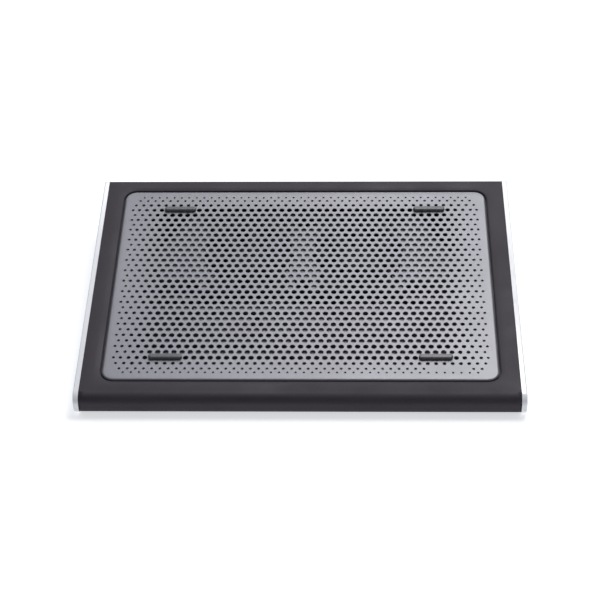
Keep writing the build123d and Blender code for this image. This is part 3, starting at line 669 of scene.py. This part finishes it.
def build_cover():
    """Skin over the border, nose, back and bottom edges, softly crowned round the plate."""
    groove, window_corner = 1.0 * MM, 12.0 * MM
    crown = 0.45 * MM
    skin = 1.6 * MM
    columns = cover_columns()
    points, faces = [], []

    def put(x, y, z):
        points.append(Vector((x, y, z)))
        return len(points) - 1

    strips = {}
    for name, section in (("front", front_section()), ("back", back_section())):
        lines = [[put(x, spot.x, spot.y) for x in columns] for spot in section]
        strips[name] = lines
        for upper, lower in zip(lines, lines[1:]):
            for index in range(len(columns) - 1):
                corners = [upper[index], upper[index + 1], lower[index + 1], lower[index]]
                middle = sum((points[corner] for corner in corners), Vector()) / 4
                if not is_opening(*middle):
                    faces.append(tuple(corners))
    front_edge, back_edge = strips["front"][0], strips["back"][0]
    side_steps = 56
    low, high = points[front_edge[-1]], points[back_edge[-1]]
    right = [put(*(low + (high - low) * step / side_steps)) for step in range(1, side_steps)]
    left = [put(-points[spot].x, points[spot].y, points[spot].z) for spot in reversed(right)]
    border = front_edge + right + back_edge[::-1] + left
    rings = [border]
    shares = (0.985, 0.93, 0.8, 0.6, 0.4, 0.22)
    lip = ((2.2, -0.02), (1.3, -0.10), (0.6, -0.42), (0.15, -1.0), (0.0, -1.8), (0.0, -3.2))
    spots = [on_deck(points[number]) for number in border]
    for share in shares:
        ring = []
        for x, y in spots:
            edge, reach = window_edge(x, y, groove, window_corner)
            away = Vector((x, y)) - edge
            spot = edge + away * share
            puff = crown * math.sin(math.pi * min(share + 0.05, 1.0)) if reach else 0.0
            point = deck_point(spot.x, spot.y, puff)
            ring.append(put(*point))
        rings.append(ring)
    for out, z in lip:
        ring = []
        for x, y in spots:
            edge, _ = window_edge(x, y, groove, window_corner)
            away = (Vector((x, y)) - edge).normalized()
            spot = edge + away * out * MM
            ring.append(put(*deck_point(spot.x, spot.y, z * MM)))
        rings.append(ring)
    faces += bridged(rings)
    cover = add_mesh("cover_skin", points, faces, "cover_soft")
    tidy_normals(cover, 50)
    thicken(cover, skin)
    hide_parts("soft_cover")


def on_deck(point):
    """Deck coordinates of a world point."""
    away = point - DECK_ORIGIN
    return away.x, away.dot(DECK_BACK)


def window_edge(x, y, groove, corner):
    """Nearest point of the window's rounded edge, and how far it is."""
    core_x = PLATE_X + groove - corner
    core_y = PLATE_Y + groove - corner
    core, away = rounded_edge((x, y), core_x, core_y)
    edge = Vector(core) + away * corner
    return edge, (Vector((x, y)) - edge).length


def thicken(piece, gauge):
    """Give an open skin its thickness, inward."""
    solid = piece.modifiers.new("gauge", "SOLIDIFY")
    solid.thickness = gauge
    solid.offset = -1.0
    solid.use_even_offset = True
    settle(piece)


def settle(piece):
    """Apply all modifiers of a piece."""
    graph = bpy.context.evaluated_depsgraph_get()
    done = bpy.data.meshes.new_from_object(piece.evaluated_get(graph))
    piece.modifiers.clear()
    piece.data = done


build_cover()

# ---------------------------------------------------------------- pad under the mat

PAD_X = 194.8 * MM
PAD_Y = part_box("base_pad")[1].y - 0.1 * MM
PAD_TOP = 5.0 * MM
INTAKE_RADIUS = 46 * MM
PAD_STEP = 4.0 * MM


def pad_relief(x, y):
    """How far the quilted cloth swells below its seams."""
    channel = 19.0 * MM
    along = (x + y) / math.sqrt(2)
    across = (x - y) / math.sqrt(2)
    pillow = abs(math.sin(math.pi * along / channel) * math.sin(math.pi * across / channel))
    grips = [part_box("grip_front"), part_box("grip_rear")]
    for low, high in grips:
        gap = max(low.y - 3 * MM - y, y - high.y - 3 * MM, low.x - 3 * MM - x, x - high.x - 3 * MM)
        if gap < 0:
            return 0.0
    edge = min(PAD_X - abs(x), PAD_Y - abs(y))
    for centre in (fan_left, fan_right):
        edge = min(edge, math.hypot(x - centre.x, y - centre.y) - INTAKE_RADIUS)
    fade = max(0.0, min(1.0, edge / (10 * MM)))
    return 0.9 * MM * math.sqrt(pillow) * fade


def build_pad():
    """Quilted pad with a round opening under each fan."""
    steps = 26
    half = steps * PAD_STEP / 2
    middle_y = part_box("intake_guard_left")[0].y / 2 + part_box("intake_guard_left")[1].y / 2
    middle_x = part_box("intake_guard_right")[0].x / 2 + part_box("intake_guard_right")[1].x / 2
    columns = spaced(0.0, middle_x - half, PAD_STEP)
    columns += [middle_x - half + PAD_STEP * step for step in range(1, steps)]
    columns += spaced(middle_x + half, PAD_X, PAD_STEP)
    columns = [-x for x in reversed(columns[1:])] + columns
    lines = spaced(-PAD_Y, middle_y - half, PAD_STEP)
    lines += [middle_y - half + PAD_STEP * step for step in range(1, steps)]
    lines += spaced(middle_y + half, PAD_Y, PAD_STEP)
    points, faces, lower, upper = [], [], {}, {}

    def put(x, y, z):
        points.append((x, y, z))
        return len(points) - 1

    def grid(column, line):
        key = (column, line)
        if key not in lower:
            x, y = columns[column], lines[line]
            lower[key] = put(x, y, GROUND_GAP - pad_relief(x, y))
            upper[key] = put(x, y, PAD_TOP)
        return lower[key], upper[key]

    windows = []
    for centre_x in (-middle_x, middle_x):
        first = min(range(len(columns)), key=lambda index: abs(columns[index] - (centre_x - half)))
        base = min(range(len(lines)), key=lambda index: abs(lines[index] - (middle_y - half)))
        windows.append((first, base, centre_x))
    taken = {
        (first + i, base + j)
        for first, base, _ in windows
        for i in range(steps)
        for j in range(steps)
    }
    for column in range(len(columns) - 1):
        for line in range(len(lines) - 1):
            if (column, line) in taken:
                continue
            corners = [(column, line), (column + 1, line), (column + 1, line + 1), (column, line + 1)]
            low, high = zip(*[grid(*corner) for corner in corners])
            faces += [low[::-1], high]
    for first, base, centre_x in windows:
        loop = [(first + i, base) for i in range(steps)]
        loop += [(first + steps, base + j) for j in range(steps)]
        loop += [(first + steps - i, base + steps) for i in range(steps)]
        loop += [(first, base + steps - j) for j in range(steps)]
        edge = [grid(*place) for place in loop]
        rings = [[pair[0] for pair in edge][::-1]]
        square = [Vector(points[pair[0]][:2]) for pair in edge]
        for share in (0.75, 0.5, 0.3, 0.15, 0.05):
            ring = []
            for spot in square:
                away = spot - Vector((centre_x, middle_y))
                rim = Vector((centre_x, middle_y)) + away.normalized() * INTAKE_RADIUS
                place = rim + (spot - rim) * share
                ring.append(put(place.x, place.y, GROUND_GAP - pad_relief(*place)))
            rings.append(ring[::-1])
        for z in (GROUND_GAP + 0.5 * MM, PAD_TOP):
            ring = []
            for spot in square:
                away = (spot - Vector((centre_x, middle_y))).normalized() * INTAKE_RADIUS
                ring.append(put(centre_x + away.x, middle_y + away.y, z))
            rings.append(ring[::-1])
        rings.append([pair[1] for pair in edge][::-1])
        faces += bridged(rings)
    last_column, last_line = len(columns) - 1, len(lines) - 1
    rim = [(column, 0) for column in range(last_column)]
    rim += [(last_column, line) for line in range(last_line)]
    rim += [(last_column - column, last_line) for column in range(last_column)]
    rim += [(0, last_line - line) for line in range(last_line)]
    edge = [grid(*place) for place in rim]
    faces += bridged([[pair[0] for pair in edge], [pair[1] for pair in edge]])
    pad = add_mesh("quilted_pad", points, faces, "pad_foam")
    tidy_normals(pad, 60)
    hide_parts("base_pad")


def spaced(start, end, step):
    """Evenly spaced places from start to end, about a step apart."""
    count = max(1, round((end - start) / step))
    return [start + (end - start) * index / count for index in range(count + 1)]


build_pad()

# ---------------------------------------------------------------- seams and grips


def add_stitches(name, runs, material, length=3.2 * MM, gap=1.8 * MM, thick=0.35 * MM):
    """Rows of thread stitches: each a short rounded bar that dips into the cloth at its ends."""
    points, faces = [], []
    sides, slices = 6, 5
    for start, end, out in runs:
        start, end, out = Vector(start), Vector(end), Vector(out).normalized()
        along = (end - start).normalized()
        cross = along.cross(out)
        count = int((end - start).length / (length + gap))
        for index in range(count):
            base = start + along * (index * (length + gap))
            first = len(points)
            for part in range(slices):
                share = part / (slices - 1)
                swell = math.sin(math.pi * (0.12 + 0.76 * share))
                centre = base + along * (share * length) + out * (swell * 0.5 - 0.35) * thick
                for side in range(sides):
                    turn = 2 * math.pi * side / sides
                    around = (cross * math.cos(turn) + out * math.sin(turn)) * thick * 0.6 * swell
                    points.append(centre + around)
            for part in range(slices - 1):
                for side in range(sides):
                    low = first + part * sides
                    after = (side + 1) % sides
                    faces.append((low + side, low + after, low + sides + after, low + sides + side))
            faces.append(tuple(first + side for side in reversed(range(sides))))
            faces.append(tuple(first + (slices - 1) * sides + side for side in range(sides)))
    thread = add_mesh(name, points, faces, material)
    tidy_normals(thread, 60)
    return thread


def add_binding(name, y, width, rise):
    """Folded tape along the joint between the cover and the pad, with rounded edges."""
    sections = ((-0.5, 0.0), (-0.47, 0.6), (-0.38, 1.0), (0.38, 1.0), (0.47, 0.6), (0.5, 0.0))
    stations = spaced(-PAD_X + 1 * MM, PAD_X - 1 * MM, 4 * MM)
    points = []
    for number, x in enumerate(stations):
        pucker = 1.0 + 0.12 * math.sin(number * 1.7)
        for across, depth in sections:
            points.append((x, y + across * width, GROUND_GAP - depth * rise * pucker))
    size = len(sections)
    faces = []
    for station in range(len(stations) - 1):
        for index in range(size):
            after = (index + 1) % size
            low = station * size
            faces.append((low + index, low + after, low + size + after, low + size + index))
    faces.append(tuple(range(size - 1, -1, -1)))
    faces.append(tuple((len(stations) - 1) * size + index for index in range(size)))
    tape = add_mesh(name, points, faces, "pad_foam")
    tidy_normals(tape, 50)


def build_seams():
    """Bound and stitched joints along the front and the back of the underside."""
    width, rise = 7 * MM, 0.55 * MM
    down = (0, 0, -1)
    runs = []
    for name, y in (("binding_front", -PAD_EDGE), ("binding_rear", PAD_EDGE)):
        add_binding(name, y, width, rise)
        for offset in (-0.27, 0.27):
            row = y + offset * width
            height = GROUND_GAP - rise
            runs.append(((-PAD_X + 3 * MM, row, height), (PAD_X - 3 * MM, row, height), down))
    add_stitches("binding_stitches", runs, "lead_sleeve")


build_seams()


def build_grips():
    """Rubber strips with cross ribs that taper off at their round ends."""
    rib_height, rib_pitch = 0.22 * MM, 8 * MM
    for name in ("grip_front", "grip_rear"):
        low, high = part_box(name)
        middle = (low + high) / 2
        radius = (high.y - low.y) / 2
        straight = (high.x - low.x) / 2 - radius
        steps, rounds = 150, 12
        outline = [(-straight + 2 * straight * i / steps, -radius) for i in range(steps + 1)]
        turns = [math.pi * i / rounds for i in range(1, rounds)]
        outline += [(straight + radius * math.sin(turn), -radius * math.cos(turn)) for turn in turns]
        outline += [(-x, -y) for x, y in outline]
        levels = ((1.0, 1.0), (1.0, 0.32), (0.94, 0.10), (0.86, 0.0), (0.55, 0.0), (0.2, 0.0))
        points, rings = [], []
        for inset, lift in levels:
            ring = []
            for x, y in outline:
                core = max(-straight, min(straight, x))
                spot = (middle.x + core + (x - core) * inset, middle.y + y * inset)
                rib = rib_height * (0.5 + 0.5 * math.cos(2 * math.pi * spot[0] / rib_pitch))
                z = lift * high.z + (rib if lift == 0.0 and inset > 0.3 else 0.0)
                ring.append(len(points))
                points.append((*spot, z))
            rings.append(ring)
        faces = bridged(rings)
        faces += [tuple(rings[0][::-1])]
        inner = rings[-1]
        half = len(inner) // 2
        faces += [(inner[i], inner[i + 1], inner[-i - 2], inner[-i - 1]) for i in range(half - 1)]
        grip = add_mesh(name + "_ribbed", points, faces, "grip_rubber")
        tidy_normals(grip, 50)
        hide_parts(name)


build_grips()

# ---------------------------------------------------------------- floor and light


def add_floor():
    """A plain white floor that glows faintly and evenly; the glow is cut out under the mat as painted
    shade, so none shows through the fans.
    """
    size, glow, inset, soft_edge = 6.0, 0.62, 0.015, 0.01
    floor = add_plain_plane("floor", size)
    shader = Shader("floor_white", Roughness=0.9)
    shader.colour(shader.ramp(shader.noise(3.0), (0.60, 0.605, 0.615), (0.62, 0.62, 0.625)))
    shader.surface.inputs["Emission Color"].default_value = (0.96, 0.98, 1.0, 1.0)
    # Painted shade: the glow fades to nothing inside the mat's footprint, darkening the floor under the
    # mat.
    parts = shader.add("ShaderNodeSeparateXYZ")
    shader.join(shader.place, parts.inputs[0])
    past = []
    for axis, reach in (("X", cad_box[1][0]), ("Y", cad_box[1][1])):
        away = shader.maths("ABSOLUTE", parts.outputs[axis], 0.0)
        past.append(shader.maths("SUBTRACT", away, reach - inset))
    glow_with_painted_shade_under_mat = shader.spread(shader.maths("MAXIMUM", *past), 0.0, glow, -soft_edge, 0.0)
    shader.join(glow_with_painted_shade_under_mat, shader.surface.inputs["Emission Strength"])
    floor.data.materials.append(shader.material)


def add_plain_plane(name, size):
    """A flat square on the ground."""
    mesh = bpy.data.meshes.new(name)
    half = size / 2
    corners = [(-half, -half, 0), (half, -half, 0), (half, half, 0), (-half, half, 0)]
    mesh.from_pydata(corners, [], [(0, 1, 2, 3)])
    plane = bpy.data.objects.new(name, mesh)
    bpy.context.collection.objects.link(plane)
    return plane


def add_lamp(name, place, aim, size, power, colour=(1, 1, 1)):
    """A rectangular soft light."""
    lamp = bpy.data.objects.new(name, bpy.data.lights.new(name, "AREA"))
    lamp.data.shape = "RECTANGLE"
    lamp.data.size, lamp.data.size_y = size
    lamp.data.energy = power
    lamp.data.color = colour
    lamp.location = place
    lamp.rotation_euler = (Vector(aim) - Vector(place)).to_track_quat("-Z", "Y").to_euler()
    bpy.context.collection.objects.link(lamp)


def add_surround():
    """A world that is bright behind and to the right, and dim and bluish in front."""
    world = bpy.data.worlds.new("surround")
    world.use_nodes = True
    tree = world.node_tree
    place = tree.nodes.new("ShaderNodeTexCoord")
    facing = tree.nodes.new("ShaderNodeVectorMath")
    facing.operation = "DOT_PRODUCT"
    facing.inputs[1].default_value = (0.25, 0.9, 0.3)
    sweep = tree.nodes.new("ShaderNodeMapRange")
    shade = tree.nodes.new("ShaderNodeValToRGB")
    tree.links.new(place.outputs["Generated"], facing.inputs[0])
    tree.links.new(facing.outputs["Value"], sweep.inputs["Value"])
    sweep.inputs["From Min"].default_value = -1.0
    tree.links.new(sweep.outputs["Result"], shade.inputs["Fac"])
    front, back = shade.color_ramp.elements
    front.color = (0.11, 0.115, 0.14, 1.0)
    back.color = (0.33, 0.34, 0.38, 1.0)
    front.position, back.position = 0.25, 0.9
    tree.links.new(shade.outputs["Color"], tree.nodes["Background"].inputs["Color"])
    bpy.context.scene.world = world


def add_light():
    """A key high behind, a low strip that the rear stops mirror, and the surround."""
    add_surround()
    add_lamp("key", (0.55, 0.85, 2.2), (0, 0, 0.03), (1.2, 0.8), 38.0, (1.0, 0.985, 0.97))
    add_lamp("strip", (0.1, 1.66, 1.74), (0, 0, 0.03), (2.2, 0.3), 9.0, (0.97, 0.98, 1.0))


add_floor()
add_light()
bpy.context.scene.view_settings.view_transform = "Standard"
